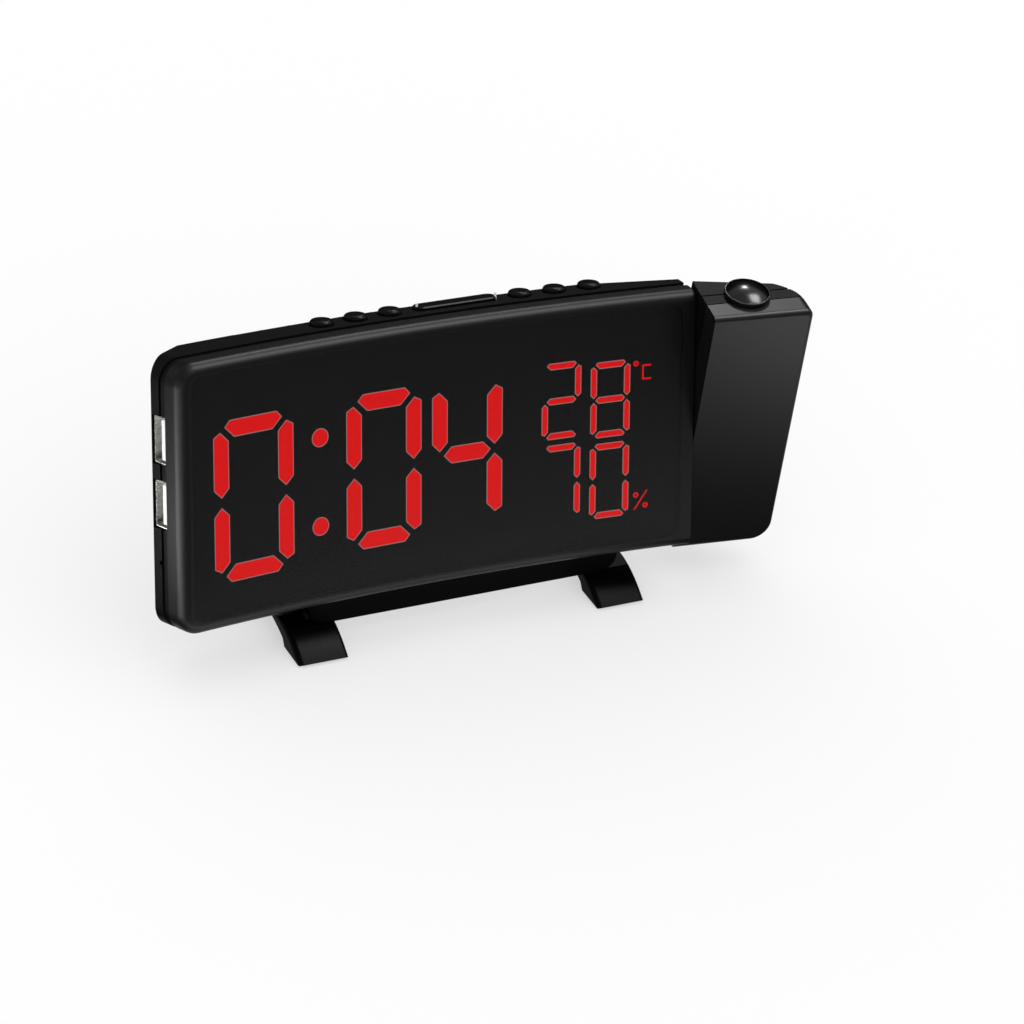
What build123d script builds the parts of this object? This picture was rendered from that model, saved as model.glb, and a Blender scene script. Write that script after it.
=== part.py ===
"""Projection alarm clock with a curved face, a turning projector pod and a two-footed stand."""

from build123d import *
import os
from math import cos, radians, sin, sqrt, tan

os.makedirs("parts", exist_ok=True)

# ---------------------------------------------------------------- driving dimensions (mm)
# Curved clock body
face_width = 162.0          # chord across the front, end to end
face_sag = 6.1              # how deep the concave face is at its middle
body_height = 76.0
body_depth = 19.7           # front face to back face, measured across the curve
bezel_depth = 6.7           # the front shell ends in the parting line at this depth
end_slant = 11.0            # both end faces open backwards by this angle (degrees)
corner_radius = 6.2         # rounded left-hand corners, seen from the front
bezel_round = 3.0           # rounded front edge
back_round = 1.2            # rounded back edge
wall = 2.0
groove_width = 2.6          # recessed band just behind the parting line
groove_inset = 0.6
left_side_depth = 12.9      # flat part of the left side, then a slanted rear corner
left_rear_x = -71.7         # where that slanted corner meets the back face
right_end_depth = 14.3
right_taper_x = 56.4        # where the back face starts to taper towards the pod

# How the body stands
body_lean = 20.0            # degrees backwards from upright
body_lift = 19.14           # front bottom edge above the table
body_shift = -15.36         # middle of the face, left of the middle of the whole clock
body_front = -25.6          # front bottom edge, ahead of the middle of the stand
stand_shift = -1.36         # middle of the stand, left of the middle of the whole clock

# Display
window_thickness = 1.5
window_gap = 0.1            # air behind the window
window_margin = 3.5
panel_wall = 1.5            # bezel wall behind the window
lightbox_left = -71.0
lightbox_right = 74.5
lightbox_margin = 7.0
lightbox_back = 10.3        # flat back of the light box, behind the front chord
diffuser_thickness = 1.5
board_thickness = 1.6
board_half_width = 79.0
board_margin = 4.0
led_length, led_width, led_height = 2.8, 1.4, 0.8

digit_xs = (-57.05, -15.5, 11.0)
digit_zs = (35.5, 36.2, 36.8)
digit_widths = (25.6, 24.0, 22.4)        # the hours are drawn a little larger than the minutes
digit_heights = (45.8, 44.7, 43.2)
digit_stroke = 5.0
colon_x, colon_z, colon_spacing, colon_diameter = -35.8, 35.7, 25.4, 5.4
small_width, small_height, small_stroke = 12.4, 22.4, 2.05
small_xs = (40.7, 56.0)
small_drop = 1.4            # the right-hand small digits sit this much lower
temperature_z, humidity_z = 47.9, 23.9
sign_stroke = 0.55
ring_diameter = 1.7         # the degree sign and the two rings of the per cent sign
degree_x, degree_z = 63.9, 56.0
letter_x, letter_z, letter_width, letter_height = 67.2, 53.3, 2.8, 4.5
percent_x, percent_z, percent_width, percent_height = 66.0, 15.3, 4.5, 5.6
shown_digits = ("abcdef", "abcdef", "bcfg")
shown_temperature = ("abdeg", "abcdefg")
shown_humidity = ("abc", "abcdef")

# Case and board screws
screw_x, screw_z_low, screw_z_high = 76.9, 5.9, 70.1
screw_shank, screw_head, screw_head_height = 1.9, 3.8, 1.3
screw_head_y = 14.0
screw_tip_y = 4.6
screw_clearance = 0.15      # radial, in the holes that a screw passes through
post_radius = 2.2

# Keys in the top
key_row_depth = 15.0        # middle of the row, behind the curved face
key_row_skew = 0.01         # the row runs back from left to right by this slope
key_group_x = 14.4
key_inner, key_pitch = 20.65, 10.9
key_diameter, key_proud = 6.6, 1.5
key_flange, key_flange_height = 7.6, 1.0
key_stem, key_travel = 2.4, 0.6
snooze_length, snooze_width, snooze_proud = 26.2, 4.8, 1.0
key_clearance = 0.2
flange_gap = 0.05           # a key's flange below the wall that stops it
key_board_z = 66.0
switch_size, switch_body_height, switch_button, switch_button_height = 3.0, 3.5, 2.0, 0.9
key_board_front = 10.6       # front edge of the key board, behind the curved face
key_post_xs = (-35.5, 66.5)
key_post_depth = 13.2

# Two charging sockets and a sensor hole in the left side
socket_zs = (53.8, 35.8)
socket_y = 9.6
socket_height, socket_thickness, socket_length = 13.1, 5.5, 9.0
socket_sheet = 0.3
socket_recess = 0.7
socket_opening_gap = 0.3
socket_board_thickness, socket_board_width, socket_board_edge = 1.2, 7.6, 14.5
tongue_height, tongue_thickness, tongue_offset = 11.0, 1.9, -1.0
sensor_z, sensor_y, sensor_hole = 19.4, 9.8, 1.2
sensor_size, sensor_thickness = 4.0, 1.6

# Back: speaker, backup cell, power inlet
speaker_x, speaker_z, speaker_diameter = -38.0, 40.0, 36.0
speaker_depth, speaker_magnet, speaker_rim = 7.5, 20.0, 1.6
grille_pitch, grille_hole, grille_rings = 3.4, 1.8, 4
cell_x, cell_z, cell_diameter, cell_thickness = 6.0, 38.0, 20.0, 3.2
cap_diameter, cap_thickness, cap_clearance = 25.0, 2.0, 0.06
cap_lug, cap_lug_thickness, cap_turn = 1.4, 0.9, 60.0
cap_slot_width, cap_slot_depth = 1.6, 0.8
cup_wall, contact_thickness = 1.2, 0.3
cap_lug_width = 6.0
inlet_from_board_end, inlet_size, inlet_length = 12.0, 9.0, 5.5
inlet_bore, inlet_pin = 5.5, 1.6
main_board_y = 14.2
main_board_x, main_board_z = 46.0, 33.0
main_board_width, main_board_height = 44.0, 50.0
board_screw_edge = 3.0      # from the main board's edges to its screws
board_screw_length = 3.8
chip_size, chip_thickness = 12.0, 1.4

# Projector pod, turning about a level axis at the right-hand end
pod_width, pod_half_height = 30.4, 40.85
pod_front, pod_back, pod_back_taper = 8.85, 10.2, 0.195
pod_back_width = 22.8       # straight part of the back, then it curves round to the end
pod_end_front = 2.45        # straight part of the outer end, behind the front face
pod_end_bulge = (28.7, 0.35)
pod_gap = 0.35
pod_lean = 20.0             # turned forwards against the body, so that the pod stands upright
pod_wall = 1.8
pod_parting = -1.6
pod_groove, pod_groove_width, pod_groove_depth = 2.4, 0.5, 0.4
pod_seam_width, pod_seam_depth = 0.3, 0.3
pod_corner_low, pod_corner_high, pod_round = 6.2, 2.6, 1.6
swivel_y, swivel_z = 8.0, 36.0
hub_diameter, hub_bore, hub_flange, hub_flange_thickness = 6.8, 3.6, 8.6, 1.6
collar_lip = 0.3
hub_clearance = 0.05
hub_inside = 5.0
washer_thickness, clip_thickness, clip_diameter = 0.5, 1.2, 8.2

lens_x, lens_y = 13.5, 1.1
lens_ring_diameter, lens_ring_height, lens_barrel, lens_barrel_length = 13.2, 1.4, 8.6, 9.0
lens_dome_diameter, lens_dome_rise = 12.4, 2.2
lens_ring_round = 0.3
lens_clearance = 0.05
tunnel_size, tunnel_length, tunnel_wall = 6.0, 22.0, 0.8
image_panel_thickness, image_panel_height = 0.8, 8.0
lamp_size, lamp_height = 3.0, 1.5
lamp_board_size = 9.4
pod_screw_xs_zs = ((5.6, 34.0), (5.6, -34.0), (22.6, -31.0))
pod_screw_seat, pod_screw_tip = 0.6, -6.2

# Stand
foot_spacing, foot_width = 97.0, 15.7
foot_lift = 0.4             # the foot's flat sole above the table, on its rubber pads
foot_toe = ((-24.8, 1.0), (-19.4, 4.1), (-13.5, 6.3))       # thin toe, then the sloping top
foot_toe_sole = -24.0
foot_tail = (-28.5, -1.4)   # the sloping top is drawn on to here, beyond the toe
foot_seat_height = 6.2      # the bar rests in a shallow seat at this height
foot_top = 7.3
foot_sole_end, foot_arch_start, foot_arch_height, foot_arch_peak = -15.0, -13.2, 2.3, 4.8
foot_round = 1.5
pad_length, pad_width, pad_thickness, pad_y = 5.4, 11.0, 1.0, 20.0
bar_half_length, bar_front, bar_depth, bar_corner = 50.2, -15.3, 8.55, 5.2
bar_edge = 0.8
stand_screw, stand_screw_head, stand_screw_head_height = 2.6, 4.6, 1.6
stand_screw_engagement = 5.0
body_screw_spacing, body_screw_y, body_screw_seat = 60.0, 16.7, 5.0
body_screw_boss = 5.6       # outer diameter of the posts that take these screws
foot_screw_seat = 4.2

# ---------------------------------------------------------------- shared geometry
board_screw_spacing_x = main_board_width - 2 * board_screw_edge
board_screw_spacing_z = main_board_height - 2 * board_screw_edge
inlet_x = main_board_x - 2.0
inlet_z = main_board_z - main_board_height / 2 + inlet_from_board_end
window_back = window_thickness + window_gap
face_radius = (face_width ** 2 / 4 + face_sag ** 2) / (2 * face_sag)
curve_centre = face_sag - face_radius
slant = tan(radians(end_slant))


def curve_y(x, depth):
    """Distance behind the front chord of the surface that lies `depth` behind the curved face."""
    return curve_centre + sqrt((face_radius + depth) ** 2 - x ** 2)


def side_x(y):
    """Half width of the body at a distance y behind the front chord."""
    return face_width / 2 + y * slant


# `clock` has its origin at the middle of the front bottom edge, X to the right, Y to the back
# and Z up along the leaning body. `front` is the same frame seen from the front.
clock = Plane(
    origin=(body_shift, body_front, body_lift),
    x_dir=(1, 0, 0),
    z_dir=(0, sin(radians(body_lean)), cos(radians(body_lean))),
)
front = Plane(origin=clock.origin, x_dir=clock.x_dir, z_dir=-clock.y_dir)
back = Plane(origin=clock.origin, x_dir=-clock.x_dir, z_dir=clock.y_dir)
left_side = Plane(
    clock.location * Pos(-face_width / 2, 0, 0) * Rot(0, 0, end_slant) * Rot(90, 0, 0)
)
# `left_end` lies on the left side face: X to the front, Y up, Z out of the clock.
left_end = Plane(
    clock.location * Pos(-face_width / 2, 0, 0) * Rot(0, 0, end_slant) * Rot(0, 0, -90) * Rot(90, 0, 0)
)
# `swivel` has X along the pod's axis, out of the clock, and Z up along the body;
# `pod` is the same frame turned with the pod.
swivel = Plane(
    clock.location
    * Pos(face_width / 2, 0, swivel_z)
    * Rot(0, 0, -end_slant)
    * Pos(0, swivel_y, 0)
)
pod = Plane(swivel.location * Rot(pod_lean, 0, 0))


def along(plane):
    """The plane across `plane`'s X axis: X to the back, Y up and Z out along that axis."""
    return Plane(origin=plane.origin, x_dir=plane.y_dir, z_dir=plane.x_dir)


swivel_axis = along(swivel)
pod_axis = along(pod)


def draw_body_plan(near, far, inset=0.0):
    """Plan outline of the body between two depths, drawn in from every outer face by `inset`."""
    right_slope = (curve_y(right_taper_x, body_depth) - right_end_depth) / (
        side_x(right_end_depth) - right_taper_x
    )
    left_slope = (curve_y(left_rear_x, body_depth) - left_side_depth) / (
        side_x(left_side_depth) + left_rear_x
    )
    reach = 40.0
    Polygon(
        (-side_x(-reach / 4), -reach / 4),
        (side_x(-reach / 4), -reach / 4),
        (side_x(right_end_depth), right_end_depth),
        (side_x(right_end_depth) - 2 * reach, right_end_depth + 2 * reach * right_slope),
        (-side_x(left_side_depth) + reach, left_side_depth + reach * left_slope),
        (-side_x(left_side_depth), left_side_depth),
        align=None,
    )
    if inset:
        offset(amount=-inset, kind=Kind.INTERSECTION, mode=Mode.REPLACE)
    with Locations((0, curve_centre)):
        Circle(face_radius + far, mode=Mode.INTERSECT)
        Circle(face_radius + near, mode=Mode.SUBTRACT)


def body_block(near, far, inset=0.0):
    """A solid between two depths of the body, used for shells and for what fills them."""
    length = 3 * face_width
    with BuildPart() as block:
        with BuildSketch(clock):
            draw_body_plan(near, far, inset)
        extrude(amount=body_height)
        with BuildSketch(left_side.offset(body_height)):
            with Locations((inset + length / 2, body_height / 2)):
                RectangleRounded(length, body_height - 2 * inset, corner_radius - inset)
        extrude(amount=-3 * body_height, mode=Mode.INTERSECT)
    return block.part


def finish(piece, label):
    """Name a finished piece and write its file."""
    piece.part.label = label
    export_step(piece.part, f"parts/{label}.step")


# ---------------------------------------------------------------- display
def window_slab(far):
    """The window's outline, from the front of the face to a depth behind it."""
    with BuildPart() as slab:
        with BuildSketch(clock):
            draw_body_plan(0, far)
        extrude(amount=body_height)
        with BuildSketch(front.offset(body_depth)):
            with Locations((0, body_height / 2)):
                RectangleRounded(
                    face_width - 2 * window_margin,
                    body_height - 2 * window_margin,
                    bezel_round,
                )
        extrude(amount=-3 * body_depth, mode=Mode.INTERSECT)
    return slab


# Smoked window, let into the front shell and following its curve.
display_window = window_slab(window_thickness)
finish(display_window, "display_window")


def segment_outlines(width, height, stroke):
    """Corner points of the seven segments of one digit, about its own middle."""
    w, h, t = width / 2, height / 2, stroke
    tip = 0.46 * t           # distance of a mitred tip from the outer edge
    v_top = 0.61 * t         # tip of an upright segment, below the top
    h_side = 0.72 * t        # tip of a level segment, in from the side
    gap = 0.25 * t           # half the gap between upper and lower uprights
    level = [
        (-w + h_side, h - 0.38 * t),
        (-w + 1.06 * t, h),
        (w - 1.06 * t, h),
        (w - h_side, h - 0.38 * t),
        (w - 1.34 * t, h - t),
        (-w + 1.34 * t, h - t),
    ]
    upright = [
        (-w, h - 0.86 * t),
        (-w + tip, h - v_top),
        (-w + t, h - v_top - (t - tip)),
        (-w + t, gap + t / 2),
        (-w + t / 2, gap),
        (-w, gap + t / 2),
    ]
    middle = [
        (-w + 0.74 * t, 0),
        (-w + 1.24 * t, t / 2),
        (w - 1.24 * t, t / 2),
        (w - 0.74 * t, 0),
        (w - 1.24 * t, -t / 2),
        (-w + 1.24 * t, -t / 2),
    ]
    return {
        "a": level,
        "b": [(-x, y) for x, y in upright],
        "c": [(-x, -y) for x, y in upright],
        "d": [(x, -y) for x, y in level],
        "e": [(x, -y) for x, y in upright],
        "f": upright,
        "g": middle,
    }


def draw_digit(x, z, size, names):
    """Draw the named segments of a digit of (width, height, stroke) about (x, z)."""
    outlines = segment_outlines(*size)
    with Locations((x, z)):
        for name in names:
            Polygon(*outlines[name], align=None)


def draw_icons():
    """Colon, degree C and per cent signs."""
    with Locations((colon_x, colon_z)):
        with GridLocations(0, colon_spacing, 1, 2):
            Circle(colon_diameter / 2)
    with Locations((letter_x, letter_z)):
        Rectangle(letter_width, letter_height)
        with Locations((sign_stroke, 0)):
            Rectangle(letter_width, letter_height - 2 * sign_stroke, mode=Mode.SUBTRACT)
    with Locations((percent_x, percent_z)):
        Polygon(
            (percent_width / 2, percent_height / 2),
            (percent_width / 2 - sign_stroke, percent_height / 2),
            (-percent_width / 2, -percent_height / 2),
            (-percent_width / 2 + sign_stroke, -percent_height / 2),
            align=None,
        )
    with Locations(
        (degree_x, degree_z),
        (percent_x - percent_width / 3, percent_z + percent_height / 3.4),
        (percent_x + percent_width / 3, percent_z - percent_height / 3.4),
    ):
        Circle(ring_diameter / 2)
        Circle(ring_diameter / 2 - sign_stroke, mode=Mode.SUBTRACT)


small = (small_width, small_height, small_stroke)
all_segments = "abcdefg"
places = [
    (x, z, (width, height, digit_stroke), on)
    for x, z, width, height, on in zip(
        digit_xs, digit_zs, digit_widths, digit_heights, shown_digits
    )
]
for top_z, shown in ((temperature_z, shown_temperature), (humidity_z, shown_humidity)):
    places += [
        (x, z, small, on) for x, z, on in zip(small_xs, (top_z, top_z - small_drop), shown)
    ]


def draw_lit():
    """Every segment and sign that is lit."""
    for x, z, size, shown in places:
        draw_digit(x, z, size, shown)
    draw_icons()


def draw_dark():
    """Every segment that is switched off."""
    for x, z, size, shown in places:
        hidden = [name for name in all_segments if name not in shown]
        if hidden:
            draw_digit(x, z, size, hidden)


def diffusers(draw):
    """Diffuser pieces for one set of segments, following the curve of the window."""
    with BuildPart() as pieces:
        with BuildSketch(front.offset(body_depth)):
            draw()
        extrude(amount=-3 * body_depth)
        with BuildSketch(clock):
            draw_body_plan(window_back, window_back + diffuser_thickness)
        extrude(amount=body_height, mode=Mode.INTERSECT)
    return pieces


lit_segments = diffusers(draw_lit)
finish(lit_segments, "lit_segments")
dark_segments = diffusers(draw_dark)
finish(dark_segments, "dark_segments")

# Light box: a moulded block with a well behind every segment, curved in front and flat behind.
with BuildPart() as display_lightbox:
    with BuildSketch(clock.offset(lightbox_margin)):
        with Locations(((lightbox_left + lightbox_right) / 2, 0)):
            Rectangle(lightbox_right - lightbox_left, 2 * lightbox_back)
        with Locations((0, curve_centre)):
            Circle(face_radius + window_back, mode=Mode.SUBTRACT)
    extrude(amount=body_height - 2 * lightbox_margin)
    with BuildSketch(front.offset(body_depth)):
        draw_lit()
        draw_dark()
    extrude(amount=-3 * body_depth, mode=Mode.SUBTRACT)
finish(display_lightbox, "display_lightbox")

# Display board with a notch for the charging sockets and one for the pod's hub.
socket_zone = (min(socket_zs) - socket_height, max(socket_zs) + socket_height)
hub_zone = clip_diameter + 2 * wall
with BuildPart() as display_board:
    with BuildSketch(front.offset(-lightbox_back)):
        with Locations((0, body_height / 2)):
            Rectangle(2 * board_half_width, body_height - 2 * board_margin)
        with Locations((-board_half_width, sum(socket_zone) / 2)):
            Rectangle(
                2 * (board_half_width + lightbox_left),
                socket_zone[1] - socket_zone[0],
                mode=Mode.SUBTRACT,
            )
        with Locations((board_half_width, swivel_z)):
            Rectangle(2 * (board_half_width - lightbox_right), hub_zone, mode=Mode.SUBTRACT)
        with Locations(
            *((sx * screw_x, z) for sx in (-1, 1) for z in (screw_z_low, screw_z_high))
        ):
            Circle(screw_shank / 2 + screw_clearance, mode=Mode.SUBTRACT)
    extrude(amount=-board_thickness)
finish(display_board, "display_board")

# One light-emitting diode at the middle of every lit or dark segment.
with BuildPart() as segment_leds:
    with BuildSketch(front.offset(-lightbox_back)):
        for x, z, (width, height, stroke), shown in places:
            reach_x, reach_z = (width - stroke) / 2, (height - stroke) / 2
            with Locations((x, z)):
                with GridLocations(0, reach_z, 1, 3):
                    Rectangle(led_length, led_width)
                with GridLocations(2 * reach_x, reach_z, 2, 2):
                    Rectangle(led_width, led_length)
        with Locations((colon_x, colon_z)):
            with GridLocations(0, colon_spacing, 1, 2):
                Rectangle(led_length, led_width)
    extrude(amount=led_height)
finish(segment_leds, "segment_leds")

# ---------------------------------------------------------------- clock case
screw_spots = [(sx * screw_x, z) for sx in (-1, 1) for z in (screw_z_low, screw_z_high)]
board_back = lightbox_back + board_thickness
panel_back = window_back + panel_wall


def deep(block):
    """The edges of a body block that lie on its back."""
    return block.edges().filter_by(
        lambda edge: clock.to_local_coords(edge.center()).Y > left_side_depth + 1
    )


# Front shell: a curved frame with a panel behind the window and four screw posts.
with BuildPart() as front_bezel:
    add(body_block(0, bezel_depth))
    front_face = front_bezel.faces().sort_by(SortBy.AREA)[-2:].sort_by(
        Axis(clock.origin, clock.y_dir)
    )[0]
    pod_side_edge = front_face.edges().sort_by(Axis.X)[-1]
    fillet(front_face.edges() - ShapeList([pod_side_edge]), bezel_round)
    add(body_block(panel_back, bezel_depth + wall, wall), mode=Mode.SUBTRACT)
    add(window_slab(window_back).part, mode=Mode.SUBTRACT)
    with BuildSketch(front):
        with Locations(((lightbox_left + lightbox_right) / 2, body_height / 2)):
            Rectangle(lightbox_right - lightbox_left, body_height - 2 * lightbox_margin)
    extrude(amount=-body_depth, mode=Mode.SUBTRACT)
    with BuildSketch(front.offset(-lightbox_back)):
        with Locations(*screw_spots):
            Circle(post_radius)
    extrude(amount=lightbox_back - curve_y(screw_x, panel_back) + 0.5)
    with BuildSketch(front.offset(-lightbox_back)):
        with Locations(*screw_spots):
            Circle(screw_shank / 2)
    extrude(amount=lightbox_back - screw_tip_y, mode=Mode.SUBTRACT)
    with BuildSketch(swivel_axis):
        Circle(hub_flange / 2)
    extrude(amount=-wall - pod_gap, mode=Mode.SUBTRACT)
finish(front_bezel, "front_bezel")

# Back shell with the groove behind the parting line and openings for keys, sockets and hub.
key_offsets = [key_inner + key_pitch * n for n in range(3)]
key_xs = [key_group_x - offset for offset in reversed(key_offsets)]
key_xs += [key_group_x + offset for offset in key_offsets]
key_flange_top = body_height - wall - flange_gap
cap_y = 25.2                # outer face of the round battery cap, behind the front chord
cap_inner_y = cap_y - cap_thickness
cup_floor_y = cap_inner_y - cell_thickness - contact_thickness
speaker_seat_y = 20.4


def key_places(xs):
    """Positions on the curved key row."""
    return [(x, curve_y(x, key_row_depth + key_row_skew * (x - key_group_x))) for x in xs]


key_posts = [(x, curve_y(x, key_post_depth)) for x in key_post_xs]


with BuildPart() as back_shell:
    add(body_block(bezel_depth, body_depth))
    fillet(deep(back_shell), back_round)
    add(body_block(bezel_depth - wall, body_depth - wall, wall), mode=Mode.SUBTRACT)
    groove_end = bezel_depth + groove_width
    with BuildPart(mode=Mode.PRIVATE) as groove:
        add(body_block(bezel_depth - wall, groove_end, -wall))
        add(body_block(bezel_depth - 2 * wall, groove_end + wall, groove_inset), mode=Mode.SUBTRACT)
    add(groove.part, mode=Mode.SUBTRACT)
    # seat for the speaker, cup for the backup cell and posts for the boards
    with BuildPart(mode=Mode.PRIVATE) as speaker_seat:
        with BuildSketch(back.offset(speaker_seat_y)):
            with Locations((-speaker_x, speaker_z)):
                Circle(speaker_diameter / 2)
                Circle(speaker_diameter / 2 - speaker_rim, mode=Mode.SUBTRACT)
        extrude(amount=body_depth)
        add(body_block(bezel_depth, body_depth - wall / 2), mode=Mode.INTERSECT)
    add(speaker_seat.part)
    with BuildSketch(back.offset(cup_floor_y - cup_wall)):
        with Locations((-cell_x, cell_z)):
            Circle(cap_diameter / 2 + cap_lug + cup_wall)
    extrude(amount=cap_inner_y + 1.0 - cup_floor_y + cup_wall)
    with BuildSketch(back.offset(main_board_y + board_thickness)):
        with Locations((-main_board_x, main_board_z)):
            with GridLocations(board_screw_spacing_x, board_screw_spacing_z, 2, 2):
                Circle(post_radius)
    extrude(until=Until.NEXT)
    with BuildSketch(back.offset(board_back)):
        with Locations(*screw_spots):
            Circle(screw_head / 2 + screw_clearance + 0.9)
    extrude(until=Until.NEXT)
    with BuildSketch(clock.offset(wall / 2)):
        with Locations((stand_shift - body_shift, body_screw_y)):
            with GridLocations(body_screw_spacing, 0, 2, 1):
                Circle(body_screw_boss / 2)
    extrude(amount=wall / 2 + stand_screw_engagement - wall + 0.8)
    with BuildSketch(clock.offset(key_board_z)):
        with Locations(*key_posts):
            Circle(post_radius * 0.8)
    extrude(until=Until.NEXT)
    # holes
    with BuildSketch(clock.offset(body_height + wall)):
        with Locations(*key_places(key_xs)):
            Circle(key_diameter / 2 + key_clearance)
        with Locations(*key_places([key_group_x])):
            SlotOverall(snooze_length + 2 * key_clearance, snooze_width + 2 * key_clearance)
    extrude(amount=-3 * wall, mode=Mode.SUBTRACT)
    with BuildSketch(left_end.offset(wall)):
        for z in socket_zs:
            with Locations((0, z)):
                Rectangle(
                    socket_y + socket_thickness / 2 + socket_opening_gap,
                    socket_height + 2 * socket_opening_gap,
                    align=(Align.MAX, Align.CENTER),
                )
        with Locations((-sensor_y, sensor_z)):
            Circle(sensor_hole / 2)
    extrude(amount=-3.2 * wall, mode=Mode.SUBTRACT)
    with BuildSketch(swivel_axis):
        Circle(hub_flange / 2)
    extrude(amount=-wall - pod_gap, mode=Mode.SUBTRACT)
    with BuildSketch(back.offset(body_depth + 2 * wall + 3)):
        with Locations((-speaker_x, speaker_z)):
            for ring in range(1, grille_rings + 1):
                with PolarLocations(ring * grille_pitch, 6 * ring):
                    Circle(grille_hole / 2)
            Circle(grille_hole / 2)
    extrude(amount=-9.5, mode=Mode.SUBTRACT)
    with BuildSketch(back.offset(body_depth + 2 * wall + 3)):
        with Locations((-inlet_x, inlet_z)):
            Circle(inlet_size / 2)
    extrude(amount=-9.5, mode=Mode.SUBTRACT)
    with BuildSketch(back.offset(cup_floor_y)):
        with Locations((-cell_x, cell_z)):
            Circle(cell_diameter / 2 + screw_clearance)
    extrude(amount=body_depth, mode=Mode.SUBTRACT)
    with BuildSketch(back.offset(cap_inner_y)):
        with Locations((-cell_x, cell_z)):
            Circle(cap_diameter / 2 + cap_clearance)
    extrude(amount=body_depth, mode=Mode.SUBTRACT)
    with BuildSketch(back.offset(cap_inner_y - 0.1)):
        with Locations((-cell_x, cell_z)):
            Circle(cap_diameter / 2 + cap_lug + 0.1)
    extrude(amount=cap_lug_thickness + 0.2, mode=Mode.SUBTRACT)
    with BuildSketch(back.offset(cap_inner_y)):
        with Locations((-cell_x, cell_z)):
            with PolarLocations(0, 2, start_angle=cap_turn):
                with Locations((cap_diameter / 2, 0)):
                    Rectangle(2 * cap_lug + 0.2, cap_lug_width + 0.6)
    extrude(amount=body_depth, mode=Mode.SUBTRACT)
    # screw holes
    with BuildSketch(back.offset(main_board_y + board_thickness)):
        with Locations((-main_board_x, main_board_z)):
            with GridLocations(board_screw_spacing_x, board_screw_spacing_z, 2, 2):
                Circle(screw_shank / 2)
    extrude(amount=board_screw_length - board_thickness, mode=Mode.SUBTRACT)
    with BuildSketch(back.offset(board_back)):
        with Locations(*screw_spots):
            Circle(screw_shank / 2 + screw_clearance)
    extrude(amount=body_depth, mode=Mode.SUBTRACT)
    with BuildSketch(back.offset(screw_head_y)):
        with Locations(*screw_spots):
            Circle(screw_head / 2 + screw_clearance)
    extrude(amount=body_depth, mode=Mode.SUBTRACT)
    with BuildSketch(clock):
        with Locations((stand_shift - body_shift, body_screw_y)):
            with GridLocations(body_screw_spacing, 0, 2, 1):
                Circle(stand_screw / 2)
    extrude(amount=stand_screw_engagement, mode=Mode.SUBTRACT)
    with BuildSketch(clock.offset(key_board_z)):
        with Locations(*key_posts):
            Circle(screw_shank / 2)
    extrude(amount=board_screw_length - board_thickness, mode=Mode.SUBTRACT)
finish(back_shell, "back_shell")

# Case screws: four, from the back through the shell and the display board into the front posts.
with BuildPart() as case_screws:
    with BuildSketch(back.offset(screw_head_y)):
        with Locations(*screw_spots):
            Circle(screw_head / 2)
    extrude(amount=screw_head_height)
    with BuildSketch(back.offset(screw_tip_y)):
        with Locations(*screw_spots):
            Circle(screw_shank / 2)
    extrude(amount=screw_head_y - screw_tip_y)
    with BuildSketch(back.offset(screw_head_y + screw_head_height)):
        with Locations(*screw_spots):
            with PolarLocations(0, 2, angular_range=180):
                Rectangle(0.6 * screw_head, 0.5)
    extrude(amount=-0.6, mode=Mode.SUBTRACT)
finish(case_screws, "case_screws")

# ---------------------------------------------------------------- keys
switch_top = key_board_z + switch_body_height + switch_button_height
key_top = body_height + key_proud
snooze_top = body_height + snooze_proud

# Board under the top wall, following the curve of the key row.
with BuildPart() as key_board:
    with BuildSketch(clock.offset(key_board_z)):
        draw_body_plan(key_board_front, body_depth - wall - 0.3, wall + 0.3)
        with Locations((sum(key_post_xs) / 2, board_back + 0.3)):
            Rectangle(
                key_post_xs[1] - key_post_xs[0] + 2 * post_radius,
                body_depth,
                align=(Align.CENTER, Align.MIN),
                mode=Mode.INTERSECT,
            )
        with Locations(*key_posts):
            Circle(screw_shank / 2 + screw_clearance, mode=Mode.SUBTRACT)
    extrude(amount=-board_thickness)
finish(key_board, "key_board")

# One push switch under every key and one under the middle of the snooze bar.
with BuildPart() as key_switches:
    with BuildSketch(clock.offset(key_board_z)):
        with Locations(*key_places(key_xs + [key_group_x])):
            Rectangle(switch_size, switch_size)
    extrude(amount=switch_body_height)
    with BuildSketch(clock.offset(key_board_z + switch_body_height)):
        with Locations(*key_places(key_xs + [key_group_x])):
            Circle(switch_button / 2)
    extrude(amount=switch_button_height)
finish(key_switches, "key_switches")

# Six round keys, each a domed cap with a flange that stops against the top wall.
for number, (x, y) in enumerate(key_places(key_xs), start=1):
    with BuildPart() as key:
        with BuildSketch(clock.offset(key_flange_top)):
            draw_body_plan(0, body_depth - wall - key_clearance, wall + key_clearance)
            with Locations((x, y)):
                Circle(key_flange / 2, mode=Mode.INTERSECT)
        extrude(amount=-key_flange_height)
        with BuildSketch(clock.offset(switch_top + key_travel + flange_gap)):
            with Locations((x, y)):
                Circle(key_stem / 2)
        extrude(amount=key_flange_top - switch_top - key_travel - flange_gap)
        with BuildSketch(clock.offset(key_flange_top)):
            with Locations((x, y)):
                Circle(key_diameter / 2)
        extrude(amount=key_top - key_flange_top)
        fillet(key.edges().sort_by(Axis(clock.origin, clock.z_dir))[-1], key_proud * 0.7)
    finish(key, f"key_{number}")

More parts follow.
